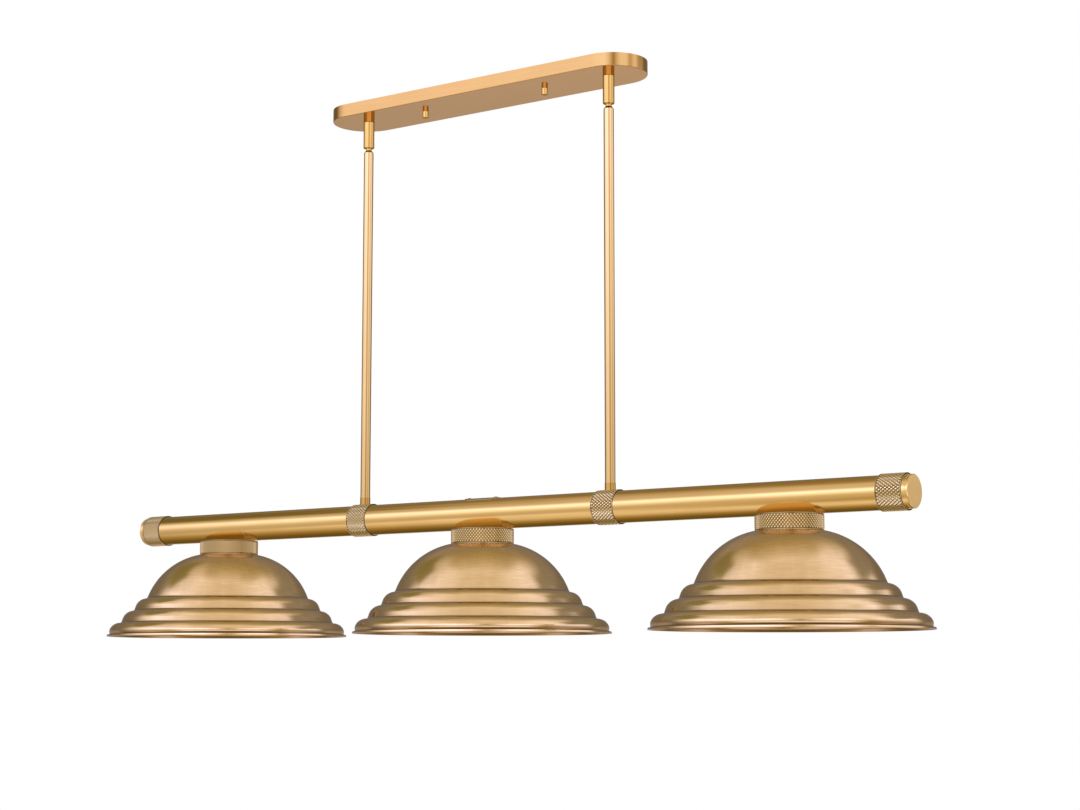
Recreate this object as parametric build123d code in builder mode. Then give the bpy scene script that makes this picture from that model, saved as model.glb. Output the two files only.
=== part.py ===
"""Billiard light: three stepped shades under one long tube, hung from a ceiling canopy on two rods.

Millimetres, +Z up, +X along the tube. The origin is the middle of the ceiling plane, where the
crossbar bolts to the outlet box.
"""
import os
from math import sqrt

from build123d import *

# Ceiling canopy, a shallow cup with round ends
canopy_length = 607
canopy_width = 111
canopy_depth = 21
canopy_wall = 1.2
canopy_edge_radius = 1
canopy_swivel_inset = 61.5

# Crossbar that bolts to the outlet box, and the studs that hold the canopy up
crossbar_length = 270
crossbar_width = 25
crossbar_thickness = 2
crossbar_corner_radius = 4
crossbar_wire_hole = 14
box_screw_spacing = 88.9
box_slot_length = 16
box_slot_width = 5
stud_spacing = 241
stud_diameter = 4.1
stud_nut_across_flats = 8
stud_nut_height = 3
cap_nut_diameter = 9.7
cap_nut_height = 10
cap_nut_edge = 0.6
cap_nut_thread = 6
ground_screw_place = 25
ground_head_diameter = 8
ground_head_height = 3

# Threaded lamp pipe, its hex nuts and flat washers, used at every joint of the wireway
pipe_diameter = 9.6
pipe_bore = 6.6
pipe_reach = 7
pipe_end = 2
nut_across_flats = 14
nut_height = 4
washer_diameter = 18
washer_thickness = 1

# Hang-straight swivels: a cap and a collar that hold a ball, whose stem carries the rod
swivel_diameter = 18
swivel_cap_height = 9.5
swivel_collar_height = 34.5
swivel_spigot = 6
swivel_edge = 0.5
ball_diameter = 14
seat_depth = 3.05
mouth_height = 1.2
mouth_flare = 0.6
stem_diameter = 9
stem_showing = 4.2
stem_thread = 14
wire_bore = 6

# Down rods with a chamfered plug at the top and a coupling at the foot
rod_diameter = 15.9
rod_wall = 1.5
rod_length = 580
nose_height = 4
nose_diameter = 10
plug_length = 20
coupling_diameter = 16.7
coupling_height = 10.3
coupling_thread = 8

# Main tube with its knurled bands, end rings and end caps
tube_diameter = 48.9
tube_wall = 1.5
tube_length = 1469
band_diameter = 53
band_width = 39.5
band_edge = 0.6
cap_diameter = 47.8
cap_barrel = 4.5
cap_groove = 1.5
cap_groove_depth = 1.2
cap_disc = 3
cap_edge = 0.6
cap_spigot = 22
cap_wall = 2

# Wiring cover on top of the tube
cover_length = 64
cover_width = 24
cover_thickness = 1
cover_opening_length = 40
cover_opening_width = 14
cover_screw_spacing = 52
cover_screw_diameter = 3
cover_screw_length = 5
cover_head_diameter = 5.5
cover_head_height = 1

# Knurled necks between the tube and the shades
end_shade_inset = 186.5
neck_diameter = 99
neck_height = 23.5
neck_wall = 4.5
neck_plate = 4
neck_edge = 0.8
saddle_depth = 0.8

# Spun shades: a dome, three equal steps and a rolled rim
shade_sheet = 1
dome_curve = 115.7
dome_base_diameter = 274
dome_height = 75.5
step_count = 3
step_tread = 21.3
step_rise = 21
step_roll_tread = 18.8
step_roll_rise = 13.3
step_bulge_tread = 13
step_bulge_rise = 4.8
rim_bead_width = 3
rim_bead_height = 3.4
rim_bead_radius = 1.2
rim_bead_standout = 2.3

# Lamp sockets and the rings that clamp the shades
socket_diameter = 38
socket_length = 52
socket_flange_diameter = 48
socket_flange_thickness = 2.5
socket_thread = 9
shell_bore = 26.4
shell_thickness = 0.75
shell_length = 25
shell_recess = 3
contact_chamber_diameter = 22
contact_chamber_height = 4
contact_diameter = 10
contact_thickness = 1.2
shade_ring_diameter = 54
shade_ring_height = 5
shade_ring_edge = 0.8

# Clearances
thread_gap = 0.05
seat_gap = 0.05
ball_gap = 0.2
hole_gap = 0.3
end_gap = 0.5

# Heights that follow from the stack, from the ceiling down
canopy_underside = -canopy_depth
swivel_split = canopy_underside - swivel_cap_height
collar_foot = swivel_split - swivel_collar_height
ball_height = collar_foot + mouth_height + seat_depth
rod_top = collar_foot - stem_showing
nose_foot = rod_top - nose_height
rod_foot = nose_foot - rod_length
band_top = rod_foot - coupling_height
tube_axis = band_top - band_diameter / 2
neck_top = tube_axis - tube_diameter / 2 + saddle_depth
neck_foot = neck_top - neck_height
plate_underside = neck_top - neck_plate
socket_mouth = plate_underside - socket_length

# Distances that follow from the long pieces: the swivels keep their inset from the canopy's ends,
# and the outer shades keep theirs from the tube's ends
rod_spacing = canopy_length - 2 * canopy_swivel_inset
shade_spacing = tube_length / 2 - end_shade_inset

# Radii that several pieces share
tube_radius = tube_diameter / 2
tube_inside = tube_radius - tube_wall
band_radius = band_diameter / 2
pipe_radius = pipe_diameter / 2
pipe_hole = pipe_radius + hole_gap
pipe_thread = pipe_radius + thread_gap
stud_radius = stud_diameter / 2
rod_inside = rod_diameter / 2 - rod_wall
socket_radius = socket_diameter / 2
shell_outside = shell_bore / 2 + shell_thickness

rod_places = {"left": -rod_spacing / 2, "right": rod_spacing / 2}
shade_places = {"left": -shade_spacing, "middle": 0, "right": shade_spacing}
end_signs = {"left": -1, "right": 1}


def upright(x):
    """The vertical axis at x."""
    return Axis((x, 0, 0), (0, 0, 1))


def half_section(x, outline):
    """A closed outline of (radius, height) points beside the vertical axis at x."""
    with BuildSketch(Plane((x, 0, 0), x_dir=(1, 0, 0), z_dir=(0, -1, 0))) as section:
        with BuildLine():
            Polyline(*outline, close=True)
        make_face()
    return section.sketch


def across_tube(x, radius, hole=0):
    """A circle, or a ring if it has a hole, square to the tube at x and centred on the tube's axis."""
    with BuildSketch(Plane.YZ.offset(x)) as section:
        with Locations((0, tube_axis)):
            Circle(radius)
            if hole:
                Circle(hole, mode=Mode.SUBTRACT)
    return section.sketch


def at_each(places, bottom, outline):
    """The same flat outline at each x of places, at the height of its bottom face."""
    with BuildSketch(Plane.XY.offset(bottom)) as section:
        with Locations(*[(x, 0) for x in places]):
            add(outline)
    return section.sketch


def hexagon(across_flats, hole_radius=0):
    """The flat outline of a hex head, or of a hex nut if it has a hole."""
    with BuildSketch() as section:
        RegularPolygon(across_flats / 2, side_count=6, major_radius=False)
        if hole_radius:
            Circle(hole_radius, mode=Mode.SUBTRACT)
    return section.sketch


def round_ring(radius, hole_radius=0):
    """The flat outline of a disc, or of a washer if it has a hole."""
    with BuildSketch() as section:
        Circle(radius)
        if hole_radius:
            Circle(hole_radius, mode=Mode.SUBTRACT)
    return section.sketch


def save(piece, name):
    """Labels a finished piece and writes it under its name."""
    piece.part.label = name
    export_step(piece.part, f"parts/{name}.step")


os.makedirs("parts", exist_ok=True)
rod_xs = list(rod_places.values())
shade_xs = list(shade_places.values())
stud_xs = [-stud_spacing / 2, stud_spacing / 2]

# Canopy: pressed cup, open to the ceiling, with holes for the studs and the swivels
with BuildPart() as canopy:
    with BuildSketch(Plane.XY.offset(canopy_underside)):
        SlotOverall(canopy_length, canopy_width)
    extrude(amount=canopy_depth)
    fillet(canopy.faces().sort_by(Axis.Z)[0].edges(), canopy_edge_radius)
    with BuildSketch(Plane.XY.offset(canopy_underside + canopy_wall)):
        SlotOverall(canopy_length - 2 * canopy_wall, canopy_width - 2 * canopy_wall)
    extrude(amount=canopy_depth, mode=Mode.SUBTRACT)
    stud_holes = at_each(stud_xs, canopy_underside, round_ring(stud_radius + hole_gap))
    extrude(stud_holes, amount=canopy_wall, dir=(0, 0, 1), mode=Mode.SUBTRACT)
    swivel_holes = at_each(rod_xs, canopy_underside, round_ring(pipe_hole))
    extrude(swivel_holes, amount=canopy_wall, dir=(0, 0, 1), mode=Mode.SUBTRACT)
save(canopy, "canopy")

# Crossbar: steel strap with two slots for the outlet box screws
with BuildPart() as crossbar:
    with BuildSketch(Plane.XY.offset(-crossbar_thickness)):
        RectangleRounded(crossbar_length, crossbar_width, crossbar_corner_radius)
        Circle(crossbar_wire_hole / 2, mode=Mode.SUBTRACT)
        with GridLocations(box_screw_spacing, 0, 2, 1):
            SlotOverall(box_slot_length, box_slot_width, mode=Mode.SUBTRACT)
        with GridLocations(stud_spacing, 0, 2, 1):
            Circle(stud_radius + thread_gap, mode=Mode.SUBTRACT)
        with Locations((ground_screw_place, 0)):
            Circle(stud_radius + thread_gap, mode=Mode.SUBTRACT)
    extrude(amount=crossbar_thickness)
save(crossbar, "crossbar")

# Studs screwed through the crossbar, locked by a nut and closed by a cap nut under the canopy
stud_foot = canopy_underside - cap_nut_thread
with BuildPart() as crossbar_studs:
    extrude(at_each(stud_xs, stud_foot, round_ring(stud_radius)), amount=-stud_foot, dir=(0, 0, 1))
save(crossbar_studs, "crossbar_studs")

with BuildPart() as stud_lock_nuts:
    stud_nut = hexagon(stud_nut_across_flats, stud_radius + thread_gap)
    stud_nut_foot = -crossbar_thickness - stud_nut_height
    extrude(at_each(stud_xs, stud_nut_foot, stud_nut), amount=stud_nut_height, dir=(0, 0, 1))
save(stud_lock_nuts, "stud_lock_nuts")

with BuildPart() as canopy_cap_nuts:
    for x in stud_xs:
        nut_foot = canopy_underside - cap_nut_height
        bore_end = stud_foot - end_gap
        outline = [
            (0, nut_foot),
            (cap_nut_diameter / 2 - cap_nut_edge, nut_foot),
            (cap_nut_diameter / 2, nut_foot + cap_nut_edge),
            (cap_nut_diameter / 2, canopy_underside),
            (stud_radius + thread_gap, canopy_underside),
            (stud_radius + thread_gap, bore_end),
            (0, bore_end),
        ]
        revolve(half_section(x, outline), axis=upright(x))
save(canopy_cap_nuts, "canopy_cap_nuts")

with BuildPart() as ground_screw:
    ground_head_foot = -crossbar_thickness - ground_head_height
    head = at_each([ground_screw_place], ground_head_foot, hexagon(ground_head_diameter))
    extrude(head, amount=ground_head_height, dir=(0, 0, 1))
    shank = at_each([ground_screw_place], -crossbar_thickness, round_ring(stud_radius))
    extrude(shank, amount=crossbar_thickness, dir=(0, 0, 1))
save(ground_screw, "ground_screw")

# Lamp pipes that hold the swivels to the canopy, each with its washer and nut inside the cup
swivel_washer_foot = canopy_underside + canopy_wall
swivel_nut_foot = swivel_washer_foot + washer_thickness
swivel_pipe_top = swivel_nut_foot + nut_height + pipe_end
swivel_pipe_foot = canopy_underside - pipe_reach
lamp_pipe = round_ring(pipe_radius, pipe_bore / 2)
hex_nut = hexagon(nut_across_flats, pipe_thread)

with BuildPart() as swivel_nipples:
    pipe_length = swivel_pipe_top - swivel_pipe_foot
    extrude(at_each(rod_xs, swivel_pipe_foot, lamp_pipe), amount=pipe_length, dir=(0, 0, 1))
save(swivel_nipples, "swivel_nipples")

with BuildPart() as swivel_lock_washers:
    flat_washer = round_ring(washer_diameter / 2, pipe_hole)
    extrude(at_each(rod_xs, swivel_washer_foot, flat_washer), amount=washer_thickness, dir=(0, 0, 1))
save(swivel_lock_washers, "swivel_lock_washers")

with BuildPart() as swivel_hex_nuts:
    extrude(at_each(rod_xs, swivel_nut_foot, hex_nut), amount=nut_height, dir=(0, 0, 1))
save(swivel_hex_nuts, "swivel_hex_nuts")

# Swivels and rods, one of each piece on either side
swivel_radius = swivel_diameter / 2
seat_radius = ball_diameter / 2 + ball_gap
mouth_radius = sqrt(seat_radius**2 - seat_depth**2)
spigot_radius = seat_radius - thread_gap
stem_radius = stem_diameter / 2
plug_radius = rod_inside - thread_gap
stem_end = rod_top - stem_thread

for side, x in rod_places.items():
    # Swivel cap, screwed on the lamp pipe above and into the collar below
    with BuildPart() as swivel_cap:
        pipe_seat = swivel_pipe_foot - end_gap
        outline = [
            (pipe_thread, canopy_underside),
            (swivel_radius - swivel_edge, canopy_underside),
            (swivel_radius, canopy_underside - swivel_edge),
            (swivel_radius, swivel_split),
            (spigot_radius, swivel_split),
            (spigot_radius, swivel_split - swivel_spigot),
            (pipe_bore / 2, swivel_split - swivel_spigot),
            (pipe_bore / 2, pipe_seat),
            (pipe_thread, pipe_seat),
        ]
        revolve(half_section(x, outline), axis=upright(x))
    save(swivel_cap, f"swivel_cap_{side}")

    # Swivel collar, bored from the top, with a round seat for the ball and a flared mouth
    with BuildPart() as swivel_collar:
        outline = [
            (0, swivel_split),
            (swivel_radius, swivel_split),
            (swivel_radius, collar_foot + swivel_edge),
            (swivel_radius - swivel_edge, collar_foot),
            (mouth_radius + mouth_flare, collar_foot),
            (mouth_radius, collar_foot + mouth_height),
            (0, collar_foot + mouth_height),
        ]
        revolve(half_section(x, outline), axis=upright(x))
        with Locations((x, 0, ball_height)):
            Sphere(seat_radius, mode=Mode.SUBTRACT)
        bore = at_each([x], ball_height, round_ring(seat_radius))
        extrude(bore, amount=swivel_split - ball_height, dir=(0, 0, 1), mode=Mode.SUBTRACT)
    save(swivel_collar, f"swivel_collar_{side}")

    # Swivel ball with a narrow stem and a thread that screws into the rod's plug
    with BuildPart() as swivel_ball:
        with Locations((x, 0, ball_height)):
            Sphere(ball_diameter / 2)
        stem = at_each([x], rod_top, round_ring(stem_radius))
        extrude(stem, amount=ball_height - rod_top, dir=(0, 0, 1))
        thread = at_each([x], stem_end, round_ring(pipe_radius))
        extrude(thread, amount=stem_thread, dir=(0, 0, 1))
        bore = at_each([x], stem_end, round_ring(wire_bore / 2))
        extrude(bore, amount=ball_height + ball_diameter - stem_end, dir=(0, 0, 1), mode=Mode.SUBTRACT)
    save(swivel_ball, f"swivel_ball_{side}")

    # Chamfered plug pressed into the rod's top
    with BuildPart() as rod_top_plug:
        outline = [
            (pipe_thread, rod_top),
            (nose_diameter / 2, rod_top),
            (rod_diameter / 2, nose_foot),
            (plug_radius, nose_foot),
            (plug_radius, nose_foot - plug_length),
            (pipe_thread, nose_foot - plug_length),
        ]
        revolve(half_section(x, outline), axis=upright(x))
    save(rod_top_plug, f"rod_top_plug_{side}")

    # Down rod, a plain tube
    with BuildPart() as down_rod:
        rod_ring = round_ring(rod_diameter / 2, rod_inside)
        extrude(at_each([x], rod_foot, rod_ring), amount=rod_length, dir=(0, 0, 1))
    save(down_rod, f"down_rod_{side}")

    # Coupling in the rod's foot, saddled to sit on the band
    with BuildPart() as rod_coupling:
        coupling_radius = coupling_diameter / 2
        saddle_foot = tube_axis + sqrt(band_radius**2 - coupling_radius**2)
        outline = [
            (pipe_thread, saddle_foot),
            (coupling_radius, saddle_foot),
            (coupling_radius, rod_foot),
            (plug_radius, rod_foot),
            (plug_radius, rod_foot + plug_length),
            (pipe_thread, rod_foot + plug_length),
        ]
        revolve(half_section(x, outline), axis=upright(x))
        saddle = across_tube(x - coupling_radius, band_radius + seat_gap)
        extrude(saddle, amount=coupling_diameter, dir=(1, 0, 0), mode=Mode.SUBTRACT)
    save(rod_coupling, f"rod_coupling_{side}")

    # Knurled band round the tube under the rod
    with BuildPart() as rod_band:
        band_ring = across_tube(x - band_width / 2, band_radius, tube_radius + seat_gap)
        extrude(band_ring, amount=band_width, dir=(1, 0, 0))
        chamfer(rod_band.faces().sort_by(SortBy.AREA)[-1].edges().filter_by(GeomType.CIRCLE), band_edge)
        pipe_way = at_each([x], tube_axis, round_ring(pipe_hole))
        extrude(pipe_way, amount=band_radius, dir=(0, 0, 1), mode=Mode.SUBTRACT)
    save(rod_band, f"rod_band_{side}")

# Main tube with holes for the rods above and the necks below, and the wiring opening on top
with BuildPart() as main_tube:
    tube_ring = across_tube(-tube_length / 2, tube_radius, tube_inside)
    extrude(tube_ring, amount=tube_length, dir=(1, 0, 0))
    rod_holes = at_each(rod_xs, tube_axis, round_ring(pipe_hole))
    extrude(rod_holes, amount=tube_radius, dir=(0, 0, 1), mode=Mode.SUBTRACT)
    neck_holes = at_each(shade_xs, tube_axis, round_ring(pipe_hole))
    extrude(neck_holes, amount=tube_radius, dir=(0, 0, -1), mode=Mode.SUBTRACT)
    with BuildSketch(Plane.XY.offset(tube_axis)):
        SlotOverall(cover_opening_length, cover_opening_width)
        with GridLocations(cover_screw_spacing, 0, 2, 1):
            Circle(cover_screw_diameter / 2 + thread_gap)
    extrude(amount=tube_radius, mode=Mode.SUBTRACT)
save(main_tube, "main_tube")

# Wiring cover, curved to the tube, and its two screws
cover_screw_xs = [-cover_screw_spacing / 2, cover_screw_spacing / 2]
cover_top = tube_axis + tube_radius + seat_gap + cover_thickness

with BuildPart() as access_cover:
    cover_inside = tube_radius + seat_gap
    cover_ring = across_tube(-cover_length / 2, cover_inside + cover_thickness, cover_inside)
    extrude(cover_ring, amount=cover_length, dir=(1, 0, 0))
    with BuildSketch(Plane.XY.offset(tube_axis)):
        SlotOverall(cover_length, cover_width)
        with GridLocations(cover_screw_spacing, 0, 2, 1):
            Circle(cover_screw_diameter / 2 + hole_gap, mode=Mode.SUBTRACT)
    extrude(amount=tube_diameter, mode=Mode.INTERSECT)
save(access_cover, "access_cover")

with BuildPart() as access_cover_screws:
    heads = at_each(cover_screw_xs, cover_top, round_ring(cover_head_diameter / 2))
    extrude(heads, amount=cover_head_height, dir=(0, 0, 1))
    shanks = at_each(cover_screw_xs, cover_top - cover_screw_length, round_ring(cover_screw_diameter / 2))
    extrude(shanks, amount=cover_screw_length, dir=(0, 0, 1))
save(access_cover_screws, "access_cover_screws")

# Lamp pipes of the rods, each with a saddle washer and a nut inside the tube
washer_radius = washer_diameter / 2
saddle_height = tube_inside - sqrt(tube_inside**2 - washer_radius**2) + washer_thickness
rod_washer_foot = tube_axis + tube_inside - seat_gap - saddle_height
rod_nut_foot = rod_washer_foot - nut_height
rod_pipe_foot = rod_nut_foot - pipe_end

with BuildPart() as rod_nipples:
    pipe_length = rod_foot + coupling_thread - rod_pipe_foot
    extrude(at_each(rod_xs, rod_pipe_foot, lamp_pipe), amount=pipe_length, dir=(0, 0, 1))
save(rod_nipples, "rod_nipples")

with BuildPart() as rod_saddle_washers:
    saddle_washer = round_ring(washer_radius, pipe_hole)
    extrude(at_each(rod_xs, rod_washer_foot, saddle_washer), amount=saddle_height, dir=(0, 0, 1))
    wireway = across_tube(-tube_length / 2, tube_inside - seat_gap)
    extrude(wireway, amount=tube_length, dir=(1, 0, 0), mode=Mode.INTERSECT)
save(rod_saddle_washers, "rod_saddle_washers")

with BuildPart() as rod_hex_nuts:
    extrude(at_each(rod_xs, rod_nut_foot, hex_nut), amount=nut_height, dir=(0, 0, 1))
save(rod_hex_nuts, "rod_hex_nuts")

# Knurled end rings and plugged end caps of the tube
for side, sign in end_signs.items():
    with BuildPart() as end_ring:
        ring_start = sign * tube_length / 2
        ring_section = across_tube(ring_start, band_radius, tube_radius + seat_gap)
        extrude(ring_section, amount=band_width, dir=(-sign, 0, 0))
        chamfer(end_ring.faces().sort_by(SortBy.AREA)[-1].edges().filter_by(GeomType.CIRCLE), band_edge)
    save(end_ring, f"end_ring_{side}")

    with BuildPart() as end_cap:
        cap_start = tube_length / 2
        cap_radius = cap_diameter / 2
        groove_start = cap_start + cap_barrel
        disc_start = groove_start + cap_groove
        cap_face = disc_start + cap_disc
        spigot_outside = tube_inside - seat_gap
        outline = [
            (cap_start - cap_spigot, spigot_outside - cap_wall),
            (cap_start - cap_spigot, spigot_outside),
            (cap_start, spigot_outside),
            (cap_start, cap_radius),
            (groove_start, cap_radius),
            (groove_start, cap_radius - cap_groove_depth),
            (disc_start, cap_radius - cap_groove_depth),
            (disc_start, cap_radius),
            (cap_face - cap_edge, cap_radius),
            (cap_face, cap_radius - cap_edge),
            (cap_face, 0),
            (disc_start, 0),
            (disc_start, spigot_outside - cap_wall),
        ]
        with BuildSketch(Plane((0, 0, tube_axis), x_dir=(sign, 0, 0), z_dir=(0, -sign, 0))):
            with BuildLine():
                Polyline(*outline, close=True)
            make_face()
        revolve(axis=Axis((0, 0, tube_axis), (1, 0, 0)))
    save(end_cap, f"end_cap_{side}")

# Lamp pipes of the necks, each with a saddle washer and a nut inside the tube
neck_washer_foot = tube_axis - tube_inside + seat_gap
neck_nut_foot = neck_washer_foot + saddle_height
neck_pipe_foot = plate_underside - socket_thread
neck_pipe_top = neck_nut_foot + nut_height + pipe_end

with BuildPart() as neck_nipples:
    pipe_length = neck_pipe_top - neck_pipe_foot
    extrude(at_each(shade_xs, neck_pipe_foot, lamp_pipe), amount=pipe_length, dir=(0, 0, 1))
save(neck_nipples, "neck_nipples")

with BuildPart() as neck_saddle_washers:
    extrude(at_each(shade_xs, neck_washer_foot, saddle_washer), amount=saddle_height, dir=(0, 0, 1))
    extrude(wireway, amount=tube_length, dir=(1, 0, 0), mode=Mode.INTERSECT)
save(neck_saddle_washers, "neck_saddle_washers")

with BuildPart() as neck_hex_nuts:
    extrude(at_each(shade_xs, neck_nut_foot, hex_nut), amount=nut_height, dir=(0, 0, 1))
save(neck_hex_nuts, "neck_hex_nuts")

# Shade line: the outer face of the spun sheet, as (radius, depth below the neck)
dome_base = dome_base_diameter / 2
neck_radius = neck_diameter / 2
socket_way = socket_radius + hole_gap
steps_foot_radius = dome_base + step_count * step_tread
steps_foot_depth = dome_height + step_count * step_rise
rim_radius = steps_foot_radius + rim_bead_standout

# Inside of the sockets
cavity_radius = shell_outside + thread_gap
shell_foot = socket_mouth + shell_recess
shell_top = shell_foot + shell_length
chamber_top = shell_top + contact_chamber_height
pipe_pocket = neck_pipe_foot - end_gap
flange_top = neck_foot + socket_flange_thickness
ring_top = neck_foot - shade_sheet
ring_foot = ring_top - shade_ring_height

for place, x in shade_places.items():
    # Knurled neck, an inverted cup saddled to the tube
    with BuildPart() as shade_neck:
        outline = [
            (pipe_hole, neck_top),
            (neck_radius - neck_edge, neck_top),
            (neck_radius, neck_top - neck_edge),
            (neck_radius, neck_foot + neck_edge),
            (neck_radius - neck_edge, neck_foot),
            (neck_radius - neck_wall, neck_foot),
            (neck_radius - neck_wall, plate_underside),
            (pipe_hole, plate_underside),
        ]
        revolve(half_section(x, outline), axis=upright(x))
        saddle = across_tube(x - neck_radius, tube_radius + seat_gap)
        extrude(saddle, amount=neck_diameter, dir=(1, 0, 0), mode=Mode.SUBTRACT)
    save(shade_neck, f"shade_neck_{place}")

    # Spun shade with a rolled bead round its rim
    with BuildPart() as shade:
        with BuildSketch(Plane((x, 0, neck_foot), x_dir=(1, 0, 0), z_dir=(0, -1, 0))):
            with BuildLine() as sheet:
                Line((socket_way, 0), (neck_radius, 0))
                RadiusArc((neck_radius, 0), (dome_base, -dome_height), dome_curve)
                for step in range(step_count):
                    inner = dome_base + step * step_tread
                    depth = dome_height + step * step_rise
                    roll_end = (inner + step_roll_tread, -depth - step_roll_rise)
                    bulge = (inner + step_bulge_tread, -depth - step_bulge_rise)
                    ThreePointArc((inner, -depth), bulge, roll_end)
                    Line(roll_end, (inner + step_tread, -depth - step_rise))
                offset(amount=shade_sheet, side=Side.RIGHT)
            make_face()
        revolve(axis=upright(x))
        with BuildSketch(Plane((x, 0, neck_foot), x_dir=(1, 0, 0), z_dir=(0, -1, 0))):
            with Locations((rim_radius - rim_bead_width / 2, -steps_foot_depth)):
                RectangleRounded(rim_bead_width, rim_bead_height, rim_bead_radius)
        revolve(axis=upright(x))
    save(shade, f"shade_{place}")

    # Socket body, screwed on the lamp pipe, with a flange on top of the shade
    with BuildPart() as socket_body:
        outline = [
            (pipe_thread, plate_underside),
            (socket_radius, plate_underside),
            (socket_radius, flange_top),
            (socket_flange_diameter / 2, flange_top),
            (socket_flange_diameter / 2, neck_foot),
            (socket_radius, neck_foot),
            (socket_radius, socket_mouth),
            (cavity_radius, socket_mouth),
            (cavity_radius, shell_top),
            (contact_chamber_diameter / 2, shell_top),
            (contact_chamber_diameter / 2, chamber_top),
            (wire_bore / 2, chamber_top),
            (wire_bore / 2, pipe_pocket),
            (pipe_thread, pipe_pocket),
        ]
        revolve(half_section(x, outline), axis=upright(x))
    save(socket_body, f"socket_body_{place}")

    # Screw shell of the socket
    with BuildPart() as socket_shell:
        shell_ring = round_ring(shell_outside, shell_bore / 2)
        extrude(at_each([x], shell_foot, shell_ring), amount=shell_length, dir=(0, 0, 1))
    save(socket_shell, f"socket_shell_{place}")

    # Threaded ring that clamps the shade up against the socket's flange
    with BuildPart() as shade_ring:
        outline = [
            (socket_radius + thread_gap, ring_top),
            (shade_ring_diameter / 2, ring_top),
            (shade_ring_diameter / 2, ring_foot + shade_ring_edge),
            (shade_ring_diameter / 2 - shade_ring_edge, ring_foot),
            (socket_radius + thread_gap, ring_foot),
        ]
        revolve(half_section(x, outline), axis=upright(x))
    save(shade_ring, f"shade_ring_{place}")

# Centre contacts at the top of the sockets
with BuildPart() as socket_contacts:
    contact_foot = chamber_top - contact_thickness
    contact = round_ring(contact_diameter / 2)
    extrude(at_each(shade_xs, contact_foot, contact), amount=contact_thickness, dir=(0, 0, 1))
save(socket_contacts, "socket_contacts")
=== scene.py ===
"""Billiard light: its finishes, knurling and spun shades, with the floor, studio light and camera.

Metres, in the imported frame: the origin is the middle of the ceiling plane, +X along the tube, +Z up.
"""
from math import cos, pi, radians, sin, sqrt

import bpy
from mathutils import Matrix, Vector


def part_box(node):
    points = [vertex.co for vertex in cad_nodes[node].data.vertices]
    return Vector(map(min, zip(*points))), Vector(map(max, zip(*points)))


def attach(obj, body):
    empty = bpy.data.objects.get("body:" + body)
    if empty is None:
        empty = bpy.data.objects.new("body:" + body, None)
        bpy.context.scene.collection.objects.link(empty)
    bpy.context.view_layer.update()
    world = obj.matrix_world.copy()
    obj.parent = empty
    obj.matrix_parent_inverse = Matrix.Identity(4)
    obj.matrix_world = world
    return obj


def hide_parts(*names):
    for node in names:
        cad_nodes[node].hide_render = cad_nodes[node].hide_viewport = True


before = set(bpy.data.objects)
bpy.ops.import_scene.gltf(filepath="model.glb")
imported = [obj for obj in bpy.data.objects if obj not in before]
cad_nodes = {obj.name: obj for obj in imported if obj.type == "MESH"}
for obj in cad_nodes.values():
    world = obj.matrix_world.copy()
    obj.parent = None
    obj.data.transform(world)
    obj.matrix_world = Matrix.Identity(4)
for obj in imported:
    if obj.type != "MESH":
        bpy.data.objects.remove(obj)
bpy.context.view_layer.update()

mm = 0.001

# Canopy: a shallow steel cup with round ends, brass plated, brushed along its length and lacquered.
# It covers the outlet box and hangs on the crossbar's two studs. Its upright side is painted a deeper tone,
# as shade.
canopy_lines = (14, 700, 500)
canopy_roughness = 0.1
canopy_lacquer = 0.12
canopy_light = (0.78, 0.44, 0.155, 1)
canopy_dark = (0.72, 0.40, 0.14, 1)
canopy_side_shade = (0.74, 0.70, 0.52, 1)
brass_light = (0.92, 0.575, 0.19, 1)
brass_dark = (0.83, 0.51, 0.16, 1)
brass_edge = (0.86, 0.76, 0.60, 1)
satin_spread = 0.08
satin_relief = 0.25
lacquer_weight = 0.15
lacquer_roughness = 0.1
line_detail = 3
line_roughness = 0.6
cloud_scale = 11
cloud_detail = 2
cloud_share = 0.35
grain_low = 0.32
grain_high = 0.68
grain_depth = 0.1 * mm


def add_node(tree, kind, inputs=(), **settings):
    """A shader node. Each of its inputs, by name or number, is a value to set or a socket to link."""
    made = tree.nodes.new("ShaderNode" + kind)
    for setting, value in settings.items():
        setattr(made, setting, value)
    for key, value in dict(inputs).items():
        if isinstance(value, bpy.types.NodeSocket):
            tree.links.new(value, made.inputs[key])
        else:
            made.inputs[key].default_value = value
    return made


# Brushed grain: fine lines over soft clouds. Lines is the number of lines in a metre along each axis.
grain = bpy.data.node_groups.new("brushed_grain", "ShaderNodeTree")
for socket, kind in (
    ("Place", "Vector"),
    ("Lines", "Vector"),
    ("Light", "Color"),
    ("Dark", "Color"),
    ("Roughness", "Float"),
    ("Spread", "Float"),
):
    grain.interface.new_socket(socket, in_out="INPUT", socket_type="NodeSocket" + kind)
for socket, kind in (("Color", "Color"), ("Roughness", "Float"), ("Height", "Float")):
    grain.interface.new_socket(socket, in_out="OUTPUT", socket_type="NodeSocket" + kind)
given = grain.nodes.new("NodeGroupInput").outputs
result = grain.nodes.new("NodeGroupOutput").inputs
stretched = add_node(
    grain, "VectorMath", {0: given["Place"], 1: given["Lines"]}, operation="MULTIPLY"
).outputs[0]
fine = add_node(
    grain, "TexNoise", {"Vector": stretched, "Scale": 1, "Detail": line_detail, "Roughness": line_roughness}
).outputs["Fac"]
clouds = add_node(
    grain, "TexNoise", {"Vector": given["Place"], "Scale": cloud_scale, "Detail": cloud_detail}
).outputs["Fac"]
blend = add_node(grain, "Mix", {0: cloud_share, 2: fine, 3: clouds}).outputs[0]
share = add_node(
    grain, "MapRange", {"Value": blend, "From Min": grain_low, "From Max": grain_high}
).outputs[0]
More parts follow.
